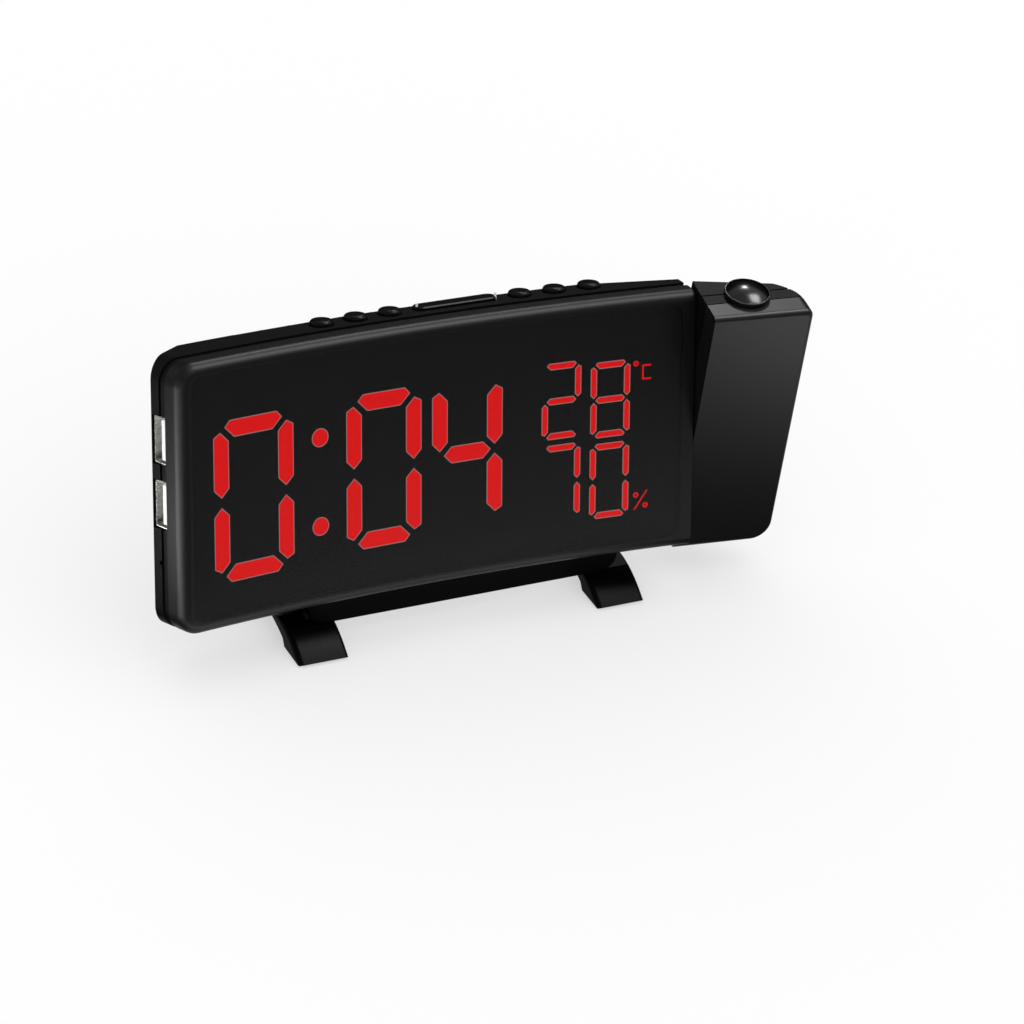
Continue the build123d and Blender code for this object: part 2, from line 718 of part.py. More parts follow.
# Snooze bar: a long low bar with a small raised tick at either end.
snooze_place = key_places([key_group_x])
with BuildPart() as snooze_bar:
    with BuildSketch(clock.offset(key_flange_top)):
        draw_body_plan(0, body_depth - wall - key_clearance, wall + key_clearance)
        with Locations(*snooze_place):
            SlotOverall(
                snooze_length + key_flange - key_diameter, snooze_width + 2, mode=Mode.INTERSECT
            )
    extrude(amount=-key_flange_height)
    with BuildSketch(clock.offset(switch_top + key_travel + flange_gap)):
        with Locations(*snooze_place):
            Circle(key_stem / 2)
    extrude(amount=key_flange_top - switch_top - key_travel - flange_gap)
    with BuildSketch(clock.offset(key_flange_top)):
        with Locations(*snooze_place):
            SlotOverall(snooze_length, snooze_width)
    extrude(amount=snooze_top - key_flange_top)
    chamfer(snooze_bar.faces().sort_by(Axis(clock.origin, clock.z_dir))[-1].edges(), 0.3)
finish(snooze_bar, "snooze_bar")

# ---------------------------------------------------------------- electrics
# Pressed metal shells of the two charging sockets, closed at the inner end.
for label, z in zip(("usb_socket_upper", "usb_socket_lower"), socket_zs):
    with BuildPart() as usb_socket:
        with BuildSketch(left_end.offset(-socket_recess)):
            with Locations((-socket_y, z)):
                Rectangle(socket_thickness, socket_height)
        extrude(amount=-socket_length)
        fillet(usb_socket.edges().filter_by(Axis(left_end.origin, left_end.z_dir)), 0.6)
        with BuildSketch(left_end.offset(-socket_recess)):
            with Locations((-socket_y, z)):
                RectangleRounded(
                    socket_thickness - 2 * socket_sheet, socket_height - 2 * socket_sheet, 0.3
                )
        extrude(amount=-socket_length + socket_sheet, mode=Mode.SUBTRACT)
    finish(usb_socket, label)

# Insulating tongues inside the sockets.
with BuildPart() as usb_tongues:
    with BuildSketch(left_end.offset(-socket_recess - socket_length + socket_sheet)):
        for z in socket_zs:
            with Locations((-socket_y - tongue_offset, z)):
                Rectangle(tongue_thickness, tongue_height)
    extrude(amount=socket_length - 2 * socket_sheet)
finish(usb_tongues, "usb_tongues")

# Small board across the inner ends of the two sockets.
with BuildPart() as usb_board:
    with BuildSketch(left_end.offset(-socket_recess - socket_length)):
        with Locations((-socket_board_edge, (socket_zs[0] + socket_zs[1]) / 2)):
            Rectangle(
                socket_board_width,
                socket_zs[0] - socket_zs[1] + socket_height + 2,
                align=(Align.MIN, Align.CENTER),
            )
    extrude(amount=-socket_board_thickness)
finish(usb_board, "usb_board")

# Temperature and humidity sensor behind the small hole in the side.
with BuildPart() as humidity_sensor:
    with BuildSketch(left_end.offset(-wall)):
        with Locations((-sensor_y, sensor_z)):
            Rectangle(0.8 * sensor_size, sensor_size)
    extrude(amount=-sensor_thickness)
finish(humidity_sensor, "humidity_sensor")

# Main board with its chip, held by four screws on posts of the back shell.
with BuildPart() as main_board:
    with BuildSketch(back.offset(main_board_y)):
        with Locations((-main_board_x, main_board_z)):
            Rectangle(main_board_width, main_board_height)
            with GridLocations(board_screw_spacing_x, board_screw_spacing_z, 2, 2):
                Circle(screw_shank / 2 + screw_clearance, mode=Mode.SUBTRACT)
    extrude(amount=board_thickness)
finish(main_board, "main_board")

with BuildPart() as control_chips:
    with BuildSketch(back.offset(main_board_y + board_thickness)):
        with Locations((-main_board_x, main_board_z + 0.16 * main_board_height)):
            Rectangle(chip_size, chip_size)
        with Locations((-main_board_x + chip_size, main_board_z)):
            Rectangle(chip_size / 3, chip_size / 2)
    extrude(amount=chip_thickness)
finish(control_chips, "control_chips")

with BuildPart() as dc_inlet:
    with BuildSketch(back.offset(main_board_y + board_thickness)):
        with Locations((-inlet_x, inlet_z)):
            Rectangle(inlet_size, inlet_size)
    extrude(amount=inlet_length)
    with BuildSketch(back.offset(main_board_y + board_thickness + inlet_length)):
        with Locations((-inlet_x, inlet_z)):
            Circle(inlet_bore / 2)
            Circle(inlet_pin / 2, mode=Mode.SUBTRACT)
    extrude(amount=-inlet_length + 1.2, mode=Mode.SUBTRACT)
finish(dc_inlet, "dc_inlet")

# Short screws of the main board and the key board.
with BuildPart() as board_screws:
    with BuildSketch(back.offset(main_board_y)):
        with Locations((-main_board_x, main_board_z)):
            with GridLocations(board_screw_spacing_x, board_screw_spacing_z, 2, 2):
                Circle(screw_shank / 2)
    extrude(amount=board_screw_length)
    with BuildSketch(back.offset(main_board_y)):
        with Locations((-main_board_x, main_board_z)):
            with GridLocations(board_screw_spacing_x, board_screw_spacing_z, 2, 2):
                Circle(screw_head / 2)
    extrude(amount=-screw_head_height)
    with BuildSketch(clock.offset(key_board_z - board_thickness)):
        with Locations(*key_posts):
            Circle(screw_shank / 2)
    extrude(amount=board_screw_length)
    with BuildSketch(clock.offset(key_board_z - board_thickness)):
        with Locations(*key_posts):
            Circle(screw_head / 2)
    extrude(amount=-screw_head_height)
finish(board_screws, "board_screws")

# Speaker: basket with magnet, and a paper cone behind the grille.
basket_rim_y = speaker_seat_y - 1.6
magnet_y = speaker_seat_y - speaker_depth
with BuildPart() as speaker_frame:
    with BuildSketch(back.offset(basket_rim_y)):
        with Locations((-speaker_x, speaker_z)):
            Circle(speaker_diameter / 2)
            Circle(speaker_diameter / 2 - speaker_rim - 0.6, mode=Mode.SUBTRACT)
    extrude(amount=speaker_seat_y - basket_rim_y)
    with BuildSketch(back.offset(basket_rim_y)):
        with Locations((-speaker_x, speaker_z)):
            Circle(speaker_diameter / 2 - 0.6)
    extrude(amount=-1.2)
    with BuildSketch(back.offset(magnet_y)):
        with Locations((-speaker_x, speaker_z)):
            Circle(speaker_magnet / 2)
    extrude(amount=basket_rim_y - magnet_y)
finish(speaker_frame, "speaker_frame")

with BuildPart() as speaker_cone:
    cone_rim = speaker_diameter / 2 - speaker_rim - 0.8
    for lift, mode in ((0.0, Mode.ADD), (0.4, Mode.SUBTRACT)):
        with BuildSketch(back.offset(basket_rim_y + lift)):
            with Locations((-speaker_x, speaker_z)):
                Circle(0.3 * speaker_magnet - lift)
        with BuildSketch(back.offset(speaker_seat_y - 0.2)):
            with Locations((-speaker_x, speaker_z)):
                Circle(cone_rim - lift)
        loft(mode=mode)
finish(speaker_cone, "speaker_cone")

# Backup cell, its contact and the round cap that locks with a part turn.
with BuildPart() as backup_battery:
    with BuildSketch(back.offset(cap_inner_y - cell_thickness)):
        with Locations((-cell_x, cell_z)):
            Circle(cell_diameter / 2)
    extrude(amount=cell_thickness)
    chamfer(backup_battery.edges(), 0.2)
finish(backup_battery, "backup_battery")

with BuildPart() as battery_contact:
    with BuildSketch(back.offset(cup_floor_y)):
        with Locations((-cell_x, cell_z)):
            Rectangle(0.7 * cell_diameter, cell_diameter / 4)
    extrude(amount=contact_thickness)
finish(battery_contact, "battery_contact")

with BuildPart() as battery_cap:
    with BuildSketch(back.offset(cap_inner_y)):
        with Locations((-cell_x, cell_z)):
            Circle(cap_diameter / 2)
    extrude(amount=cap_thickness)
    with BuildSketch(back.offset(cap_inner_y)):
        with Locations((-cell_x, cell_z)):
            Circle(cap_diameter / 2 + cap_lug)
            Rectangle(cap_diameter * 2, cap_lug_width, mode=Mode.INTERSECT)
    extrude(amount=cap_lug_thickness)
    with BuildSketch(back.offset(cap_y)):
        with Locations((-cell_x, cell_z)):
            SlotOverall(0.6 * cap_diameter, cap_slot_width)
    extrude(amount=-cap_slot_depth, mode=Mode.SUBTRACT)
finish(battery_cap, "battery_cap")

# ---------------------------------------------------------------- projector pod
collar_length = wall + 0.8


def pod_block(inset=0.0):
    """Solid of the pod, brought in from every face by `inset`."""
    with BuildPart() as block:
        with BuildSketch(pod.offset(-pod_half_height + inset)):
            with BuildLine():
                Polyline(
                    (pod_gap + pod_back_width, pod_back - pod_back_taper * pod_back_width),
                    (pod_gap, pod_back),
                    (pod_gap, -pod_front),
                    (pod_gap + pod_width, -pod_front),
                    (pod_gap + pod_width, -pod_front + pod_end_front),
                )
                ThreePointArc(
                    (pod_gap + pod_width, -pod_front + pod_end_front),
                    pod_end_bulge,
                    (pod_gap + pod_back_width, pod_back - pod_back_taper * pod_back_width),
                )
            make_face()
            if inset:
                offset(amount=-inset, kind=Kind.INTERSECTION, mode=Mode.REPLACE)
        extrude(amount=2 * (pod_half_height - inset))
        with BuildSketch(
            Plane(pod.location * Pos(0, -2 * pod_front, 0) * Rot(90, 0, 0))
        ) as outline:
            Rectangle(
                pod_gap + pod_width - inset,
                2 * (pod_half_height - inset),
                align=(Align.MIN, Align.CENTER),
            )
            for end, radius in ((-1, pod_corner_high), (0, pod_corner_low)):
                corner = outline.vertices().group_by(Axis.X)[-1].sort_by(Axis.Y)[end]
                fillet(corner, max(radius - inset, 0.5))
        extrude(amount=-4 * pod_half_height, mode=Mode.INTERSECT)
    return block.part


pod_back_view = Plane(pod.location * Rot(0, 0, 180) * Rot(90, 0, 0))
pod_top_view = Plane(pod.location * Pos(lens_x, lens_y, pod_half_height))
pod_parting_plane = Plane(pod.location * Pos(0, pod_parting, 0) * Rot(-90, 0, 0))
pod_screw_spots = [(-x, z) for x, z in pod_screw_xs_zs]

with BuildPart() as pod_case:
    add(pod_block())
    rim = pod_case.faces().sort_by(Axis(pod.origin, pod.y_dir))[0].edges()
    inner_edge = rim.sort_by(Axis(pod.origin, pod.x_dir))[0]
    fillet(rim - ShapeList([inner_edge]), pod_round)
    add(pod_block(pod_wall), mode=Mode.SUBTRACT)
    with BuildSketch(pod_back_view.offset(-pod_front + 0.4)):
        with Locations(*pod_screw_spots):
            Circle(post_radius + 0.4)
    extrude(amount=pod_front + 3.2)
    with BuildSketch(pod_back_view.offset(-pod_front)):
        Rectangle(3 * pod_width, 3 * pod_half_height)
    extrude(amount=3 * pod_front, mode=Mode.INTERSECT)
    with BuildSketch(pod_back_view.offset(pod_screw_tip)):
        with Locations(*pod_screw_spots):
            Circle(screw_shank / 2)
    extrude(amount=3 * pod_front, mode=Mode.SUBTRACT)
    with BuildSketch(pod_back_view.offset(pod_screw_seat)):
        with Locations(*pod_screw_spots):
            Circle(screw_head / 2 + screw_clearance)
    extrude(amount=3 * pod_front, mode=Mode.SUBTRACT)
    with BuildSketch(pod_axis.offset(pod_gap + pod_wall)):
        Circle(hub_diameter / 2)
    extrude(amount=-3 * pod_wall, mode=Mode.SUBTRACT)
    with BuildSketch(pod_top_view):
        Circle(lens_barrel / 2 + lens_clearance)
    extrude(amount=-2 * pod_wall, mode=Mode.SUBTRACT)

with BuildPart() as pod_front_shell:
    add(pod_case.part)
    split(bisect_by=pod_parting_plane, keep=Keep.BOTTOM)
    with BuildSketch(pod_parting_plane):
        Rectangle(3 * pod_width, 2 * pod_half_height)
        Rectangle(3 * pod_width, 2 * (pod_half_height - pod_seam_depth), mode=Mode.SUBTRACT)
    extrude(amount=-pod_seam_width, mode=Mode.SUBTRACT)
finish(pod_front_shell, "pod_front_shell")

with BuildPart() as pod_rear_shell:
    add(pod_case.part)
    split(bisect_by=pod_parting_plane, keep=Keep.TOP)
    with BuildSketch(pod_parting_plane.offset(pod_groove - pod_parting)):
        Rectangle(3 * pod_width, 2 * pod_half_height)
        Rectangle(3 * pod_width, 2 * (pod_half_height - pod_groove_depth), mode=Mode.SUBTRACT)
    extrude(amount=pod_groove_width, mode=Mode.SUBTRACT)
finish(pod_rear_shell, "pod_rear_shell")

# Screws that close the pod.
with BuildPart() as pod_screws:
    with BuildSketch(pod_back_view.offset(pod_screw_tip)):
        with Locations(*pod_screw_spots):
            Circle(screw_shank / 2)
    extrude(amount=pod_screw_seat - pod_screw_tip)
    with BuildSketch(pod_back_view.offset(pod_screw_seat)):
        with Locations(*pod_screw_spots):
            Circle(screw_head / 2)
    extrude(amount=screw_head_height)
finish(pod_screws, "pod_screws")

# Hollow hub of the pod, running in a collar that the two halves of the case clamp.
with BuildPart() as pivot_collar:
    with BuildSketch(swivel_axis):
        Circle(hub_flange / 2)
    extrude(amount=-collar_length)
    with BuildSketch(swivel_axis.offset(-wall)):
        Circle(hub_flange / 2 + collar_lip)
    extrude(amount=wall - collar_length)
    with BuildSketch(swivel_axis):
        Circle(hub_diameter / 2 + hub_clearance)
    extrude(amount=-collar_length, mode=Mode.SUBTRACT)
finish(pivot_collar, "pivot_collar")

washer_start = -collar_length - hub_clearance
clip_start = washer_start - washer_thickness
with BuildPart() as pod_hub:
    with BuildSketch(pod_axis.offset(pod_gap + pod_wall + hub_flange_thickness)):
        Circle(hub_flange / 2)
    extrude(amount=-hub_flange_thickness)
    with BuildSketch(pod_axis.offset(pod_gap + pod_wall)):
        Circle(hub_diameter / 2)
    extrude(amount=-pod_gap - pod_wall - hub_inside)
    with BuildSketch(pod_axis.offset(clip_start)):
        Circle(hub_diameter / 2)
        Circle(hub_diameter / 2 - 0.5, mode=Mode.SUBTRACT)
    extrude(amount=-clip_thickness, mode=Mode.SUBTRACT)
    with BuildSketch(pod_axis.offset(pod_gap + pod_wall + hub_flange_thickness)):
        Circle(hub_bore / 2)
    extrude(amount=-4 * hub_inside, mode=Mode.SUBTRACT)
finish(pod_hub, "pod_hub")

with BuildPart() as friction_washer:
    with BuildSketch(pod_axis.offset(washer_start)):
        Circle(hub_flange / 2)
        Circle(hub_diameter / 2, mode=Mode.SUBTRACT)
    extrude(amount=-washer_thickness)
finish(friction_washer, "friction_washer")

with BuildPart() as retaining_clip:
    with BuildSketch(pod_axis.offset(clip_start)):
        Circle(clip_diameter / 2)
        Circle(hub_diameter / 2 - 0.5, mode=Mode.SUBTRACT)
        with Locations((0, clip_diameter / 2)):
            Rectangle(hub_diameter * 0.6, clip_diameter / 2, mode=Mode.SUBTRACT)
    extrude(amount=-clip_thickness)
finish(retaining_clip, "retaining_clip")

# Focus ring with its barrel, and the domed lens set in it.
with BuildPart() as lens_ring:
    with BuildSketch(pod_top_view.offset(lens_clearance)):
        Circle(lens_ring_diameter / 2)
    extrude(amount=lens_ring_height)
    fillet(lens_ring.edges().sort_by(Axis(pod.origin, pod.z_dir))[-1], lens_ring_round)
    with BuildSketch(pod_top_view.offset(lens_clearance)):
        Circle(lens_barrel / 2)
    extrude(amount=-lens_barrel_length)
    with BuildSketch(pod_top_view.offset(lens_clearance + lens_ring_height)):
        Circle(lens_dome_diameter / 2)
    extrude(amount=-lens_ring_height / 2, mode=Mode.SUBTRACT)
    with BuildSketch(pod_top_view.offset(lens_clearance + lens_ring_height)):
        Circle(lens_barrel / 2 - 1)
    extrude(amount=-lens_barrel_length - lens_ring_height, mode=Mode.SUBTRACT)
finish(lens_ring, "lens_ring")

dome_radius = ((lens_dome_diameter / 2) ** 2 + lens_dome_rise ** 2) / (2 * lens_dome_rise)
lens_seat = lens_clearance + lens_ring_height / 2
with BuildPart() as lens_dome:
    with BuildSketch(pod_top_view.offset(lens_seat)):
        Circle(lens_dome_diameter / 2)
    extrude(amount=lens_dome_rise)
    with Locations(pod_top_view.offset(lens_seat + lens_dome_rise - dome_radius).location):
        Sphere(dome_radius, mode=Mode.INTERSECT)
finish(lens_dome, "lens_dome")

# Projector: lamp on its board, light tunnel and the small image panel below the lens.
tunnel_top = lens_clearance - lens_barrel_length - 1.0
tunnel_bottom = tunnel_top - tunnel_length
tunnel_outer = tunnel_size + 2 * tunnel_wall
with BuildPart() as light_tunnel:
    with BuildSketch(pod_top_view.offset(tunnel_top)):
        Rectangle(tunnel_outer, tunnel_outer)
        Rectangle(tunnel_size, tunnel_size, mode=Mode.SUBTRACT)
    extrude(amount=-tunnel_length)
finish(light_tunnel, "light_tunnel")

with BuildPart() as projector_lcd:
    with BuildSketch(pod_top_view.offset(tunnel_bottom + image_panel_height)):
        Rectangle(tunnel_size, tunnel_size)
    extrude(amount=image_panel_thickness)
finish(projector_lcd, "projector_lcd")

with BuildPart() as projector_board:
    with BuildSketch(pod_top_view.offset(tunnel_bottom)):
        Rectangle(lamp_board_size, tunnel_outer - 0.4)
    extrude(amount=-board_thickness)
finish(projector_board, "projector_board")

with BuildPart() as projector_led:
    with BuildSketch(pod_top_view.offset(tunnel_bottom)):
        Rectangle(lamp_size, lamp_size)
    extrude(amount=lamp_height)
finish(projector_led, "projector_led")

# ---------------------------------------------------------------- stand
foot_half = foot_spacing / 2
sideways = Plane(origin=(0, 0, 0), x_dir=(0, 1, 0), z_dir=(1, 0, 0))
table = Plane.XY


def mirrored(points):
    """The same points on the other side of the stand's middle, in reverse order."""
    return [(-y, z) for y, z in reversed(points)]


def foot(centre):
    """One arched foot about x = centre, with a seat for the bar and recesses for its pads."""
    with BuildPart() as block:
        with BuildSketch(sideways.offset(centre - foot_width / 2)):
            with BuildLine():
                Spline(foot_tail, *foot_toe, (0, foot_top), *mirrored((foot_tail, *foot_toe)))
                Polyline(
                    foot_tail, (foot_tail[0], -foot_top), (-foot_tail[0], -foot_top), *mirrored([foot_tail])
                )
            make_face()
        extrude(amount=foot_width)
        fillet(block.edges().sort_by(Axis.Z)[-2:], foot_round)
        with BuildSketch(sideways.offset(centre - foot_width / 2)):
            with BuildLine():
                sole = [
                    (foot_arch_start, foot_arch_height),
                    (foot_sole_end, foot_lift),
                    (foot_toe_sole, foot_lift),
                    foot_toe[0],
                    (foot_toe[0][0], foot_top),
                ]
                Polyline(*sole, *mirrored(sole))
                ThreePointArc(
                    (foot_arch_start, foot_arch_height),
                    (0, foot_arch_peak),
                    (-foot_arch_start, foot_arch_height),
                )
            make_face()
        extrude(amount=foot_width, mode=Mode.INTERSECT)
        with BuildSketch(table.offset(foot_seat_height)):
            with Locations((centre, bar_front + bar_depth / 2)):
                Rectangle(foot_width, bar_depth)
        extrude(amount=foot_top, mode=Mode.SUBTRACT)
        with BuildSketch(table):
            with Locations((centre, 0)):
                with GridLocations(0, 2 * pad_y, 1, 2):
                    Rectangle(pad_width, pad_length)
        extrude(amount=pad_thickness, mode=Mode.SUBTRACT)
        screw_y = bar_front + bar_depth / 2
        with BuildSketch(table):
            with Locations((centre, screw_y)):
                Circle(stand_screw_head / 2 + screw_clearance)
        extrude(amount=foot_screw_seat, mode=Mode.SUBTRACT)
        with BuildSketch(table):
            with Locations((centre, screw_y)):
                Circle(stand_screw / 2 + screw_clearance)
        extrude(amount=foot_top, mode=Mode.SUBTRACT)
    return block


left_foot = foot(stand_shift - foot_half)
finish(left_foot, "left_foot")
right_foot = foot(stand_shift + foot_half)
finish(right_foot, "right_foot")

with BuildPart() as foot_pads:
    with BuildSketch(table):
        with Locations((stand_shift, 0)):
            with GridLocations(foot_spacing, 2 * pad_y, 2, 2):
                Rectangle(pad_width, pad_length)
    extrude(amount=pad_thickness)
finish(foot_pads, "foot_pads")

# Cross bar between the feet, cut to the slope of the leaning body.
bar_middle = bar_front + bar_depth / 2
with BuildPart() as stand_bar:
    with BuildSketch(Plane.XZ.offset(-bar_front)) as bar_outline:
        with Locations((stand_shift, foot_seat_height)):
            Rectangle(2 * bar_half_length, 4 * bar_depth, align=(Align.CENTER, Align.MIN))
        fillet(bar_outline.vertices().group_by(Axis.Y)[0], bar_corner)
    extrude(amount=-bar_depth)
    fillet(stand_bar.edges().group_by(Axis.Y)[0], bar_edge)
    with BuildSketch(clock):
        Rectangle(3 * face_width, 3 * face_width)
    extrude(amount=body_height, mode=Mode.SUBTRACT)
    with BuildSketch(clock):
        with Locations((stand_shift - body_shift, body_screw_y)):
            with GridLocations(body_screw_spacing, 0, 2, 1):
                Circle(stand_screw / 2 + screw_clearance)
    extrude(amount=-body_height, mode=Mode.SUBTRACT)
    with BuildSketch(clock.offset(-body_screw_seat)):
        with Locations((stand_shift - body_shift, body_screw_y)):
            with GridLocations(body_screw_spacing, 0, 2, 1):
                Circle(stand_screw_head / 2 + screw_clearance)
    extrude(amount=-body_height, mode=Mode.SUBTRACT)
    with BuildSketch(table):
        with Locations((stand_shift, bar_middle)):
            with GridLocations(foot_spacing, 0, 2, 1):
                Circle(stand_screw / 2)
    extrude(amount=foot_seat_height + stand_screw_engagement, mode=Mode.SUBTRACT)
finish(stand_bar, "stand_bar")

# Screws from the bar up into the body, and from the feet up into the bar.
with BuildPart() as body_screws:
    with BuildSketch(clock.offset(-body_screw_seat)):
        with Locations((stand_shift - body_shift, body_screw_y)):
            with GridLocations(body_screw_spacing, 0, 2, 1):
                Circle(stand_screw / 2)
    extrude(amount=body_screw_seat + stand_screw_engagement)
    with BuildSketch(clock.offset(-body_screw_seat)):
        with Locations((stand_shift - body_shift, body_screw_y)):
            with GridLocations(body_screw_spacing, 0, 2, 1):
                Circle(stand_screw_head / 2)
    extrude(amount=-stand_screw_head_height)
finish(body_screws, "body_screws")

with BuildPart() as foot_screws:
    with BuildSketch(table.offset(foot_screw_seat)):
        with Locations((stand_shift, bar_middle)):
            with GridLocations(foot_spacing, 0, 2, 1):
                Circle(stand_screw / 2)
    extrude(amount=foot_seat_height - foot_screw_seat + stand_screw_engagement)
    with BuildSketch(table.offset(foot_screw_seat)):
        with Locations((stand_shift, bar_middle)):
            with GridLocations(foot_spacing, 0, 2, 1):
                Circle(stand_screw_head / 2)
    extrude(amount=-stand_screw_head_height)
finish(foot_screws, "foot_screws")
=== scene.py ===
from math import cos, radians, sin

import bmesh
import bpy
from mathutils import Matrix, Vector


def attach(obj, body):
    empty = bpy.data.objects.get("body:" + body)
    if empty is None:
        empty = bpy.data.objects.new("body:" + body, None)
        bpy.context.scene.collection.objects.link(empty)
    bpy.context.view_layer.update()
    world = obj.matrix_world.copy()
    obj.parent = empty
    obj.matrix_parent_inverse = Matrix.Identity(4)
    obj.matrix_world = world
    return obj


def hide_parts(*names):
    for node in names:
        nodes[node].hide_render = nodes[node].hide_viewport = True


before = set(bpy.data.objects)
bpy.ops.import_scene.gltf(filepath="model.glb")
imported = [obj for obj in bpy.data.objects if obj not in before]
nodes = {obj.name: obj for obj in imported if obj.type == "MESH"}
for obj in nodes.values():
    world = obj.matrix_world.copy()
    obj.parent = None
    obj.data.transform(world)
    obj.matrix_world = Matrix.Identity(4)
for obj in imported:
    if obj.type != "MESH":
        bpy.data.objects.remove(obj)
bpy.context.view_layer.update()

# ------------------------------------------------------------------ camera
# A long lens well back from the clock, a little above it and round towards its left end,
# held rolled to one side.
lens_length, sensor_width = 142.6, 36.0
nearest_seen, farthest_seen = 0.05, 20
camera_place = Vector((-0.54476, -0.7680, 0.6857))
view_azimuth, view_elevation, view_roll = radians(-36.31), radians(34.87), radians(12.74)

camera_data = bpy.data.cameras.new("camera")
camera_data.lens = lens_length
camera_data.sensor_width = sensor_width
camera_data.clip_start, camera_data.clip_end = nearest_seen, farthest_seen
camera = bpy.data.objects.new("camera", camera_data)
camera.matrix_world = (
    Matrix.Translation(camera_place)
    @ Matrix.Rotation(view_azimuth, 4, "Z")
    @ Matrix.Rotation(radians(90) - view_elevation, 4, "X")
    @ Matrix.Rotation(view_roll, 4, "Z")
)
bpy.context.scene.collection.objects.link(camera)
bpy.context.scene.camera = camera
bpy.context.scene.view_settings.view_transform = "Standard"


# ------------------------------------------------------------------ table and light
# A white laminate table top in a plain white room, whose walls give the plain light. Seven soft
# boxes add highlights along the clock's edges and on the pod, and five black cards stand where
# the sheen of the black plastic would otherwise show the white walls; the small card before the
# pod is painted shade, for the clock's shadow on the table that the pod's front mirrors.
def linear(hex_colour):
    """An sRGB hex colour as the linear colour a shader takes."""
    channels = [int(hex_colour[i : i + 2], 16) / 255 for i in (1, 3, 5)]
    return [c / 12.92 if c <= 0.04045 else ((c + 0.055) / 1.055) ** 2.4 for c in channels] + [1.0]


def add(tree, kind, inputs=None, **settings):
    """One shader node with its settings, socket values and links."""
    made = tree.nodes.new(kind)
    for name, value in settings.items():
        setattr(made, name, value)
    for name, value in (inputs or {}).items():
        if isinstance(value, bpy.types.NodeSocket):
            tree.links.new(value, made.inputs[name])
        else:
            made.inputs[name].default_value = value
    return made


def new_material(name):
    """An empty node material."""
    made = bpy.data.materials.new(name)
    made.use_nodes = True
    made.node_tree.nodes.clear()
    return made


def new_object(name, mesh_bm):
    """A mesh object in the scene, made from a bmesh that is then freed."""
    mesh = bpy.data.meshes.new(name)
    mesh_bm.to_mesh(mesh)
    mesh_bm.free()
    made = bpy.data.objects.new(name, mesh)
    bpy.context.scene.collection.objects.link(made)
    return made


# White painted walls: even light from every side, and a white background.
world = bpy.data.worlds.new("white_room")
bpy.context.scene.world = world
world.use_nodes = True
walls = world.node_tree
walls.nodes.clear()
wall_glow = add(walls, "ShaderNodeBackground", {"Color": linear("#ffffff"), "Strength": 1.0})
add(walls, "ShaderNodeOutputWorld", {"Surface": wall_glow.outputs[0]})

# White laminate: a flat white ground with a faint contact shadow. Reflections and glass see it
# as plain white, and the camera sees it half so, which eases the shadow.
table_size = 6.0
plain_share = 0.5
white_table = new_material("white_table_laminate")
table_tree = white_table.node_tree
paint = add(
    table_tree,
    "ShaderNodeBsdfPrincipled",
    {"Base Color": linear("#ffffff"), "Roughness": 0.9, "Specular IOR Level": 0.0},
)
plain_white = add(
    table_tree, "ShaderNodeEmission", {"Color": linear("#ffffff"), "Strength": 1.0}
)
table_path = add(table_tree, "ShaderNodeLightPath")
camera_share = add(
    table_tree,
    "ShaderNodeMath",
    {0: table_path.outputs["Is Camera Ray"], 1: plain_share},
    operation="MULTIPLY",
)
reflected_or_through = add(
    table_tree,
    "ShaderNodeMath",
    {0: table_path.outputs["Is Glossy Ray"], 1: table_path.outputs["Is Transmission Ray"]},
    operation="MAXIMUM",
)
white_share = add(
    table_tree,
    "ShaderNodeMath",
    {0: reflected_or_through.outputs[0], 1: camera_share.outputs[0]},
    operation="MAXIMUM",
)
table_mix = add(
    table_tree,
    "ShaderNodeMixShader",
    {0: white_share.outputs[0], 1: paint.outputs[0], 2: plain_white.outputs[0]},
)
add(table_tree, "ShaderNodeOutputMaterial", {"Surface": table_mix.outputs[0]})

table_bm = bmesh.new()
bmesh.ops.create_grid(table_bm, x_segments=1, y_segments=1, size=table_size / 2)
table_top = new_object("table_top", table_bm)
table_top.data.materials.append(white_table)


def turned(place, aim, axis):
    """The matrix of a stage piece at a place whose axis points at the aim."""
    direction = Vector(aim) - Vector(place)
    return Matrix.Translation(place) @ direction.to_track_quat(axis, "Y").to_matrix().to_4x4()


def soft_lamp(name, place, aim, width, height, power):
    """A soft box turned towards a point: it gives highlights only, no light or shadow."""
    data = bpy.data.lights.new(name, "AREA")
    data.shape, data.size, data.size_y, data.energy = "RECTANGLE", width, height, power
    lamp = bpy.data.objects.new(name, data)
    lamp.matrix_world = turned(place, aim, "-Z")
    bpy.context.scene.collection.objects.link(lamp)
    lamp.visible_camera = lamp.visible_diffuse = False


# Large boxes far off for the upper edges, the lens and the left end; small ones just above the
# table for the lower edges and the pod. Places and sizes in metres, power in watts.
clock_middle = (0, 0, 0.05)
soft_lamp("top_lamp", (0.50, -0.05, 1.05), clock_middle, 0.5, 0.5, 22)
soft_lamp("lens_lamp", (0.47, 0.80, 0.80), clock_middle, 0.12, 0.12, 6)
soft_lamp("brow_lamp", (0.17, -0.78, 0.93), clock_middle, 0.25, 0.25, 0.4)
soft_lamp("left_lamp", (-1.05, -0.9, 0.12), clock_middle, 0.34, 0.34, 5)
soft_lamp("left_strip", (-0.23, -0.035, 0.002), (-0.23, -0.035, 1.0), 0.13, 0.13, 1.7)
soft_lamp("front_strip", (-0.04, -0.047, 0.002), (-0.04, -0.03, 0.03), 0.18, 0.02, 0.06)
soft_lamp("pod_strip", (0.13, -0.15, 0.002), (0.09, -0.01, 0.08), 0.07, 0.05, 0.13)

# Black flocked card: a dead black without any sheen.
black_card = new_material("black_card")
card_paint = add(
    black_card.node_tree,
    "ShaderNodeBsdfPrincipled",
    {"Base Color": linear("#0a0a0a"), "Roughness": 0.9, "Specular IOR Level": 0.0},
)
add(black_card.node_tree, "ShaderNodeOutputMaterial", {"Surface": card_paint.outputs[0]})


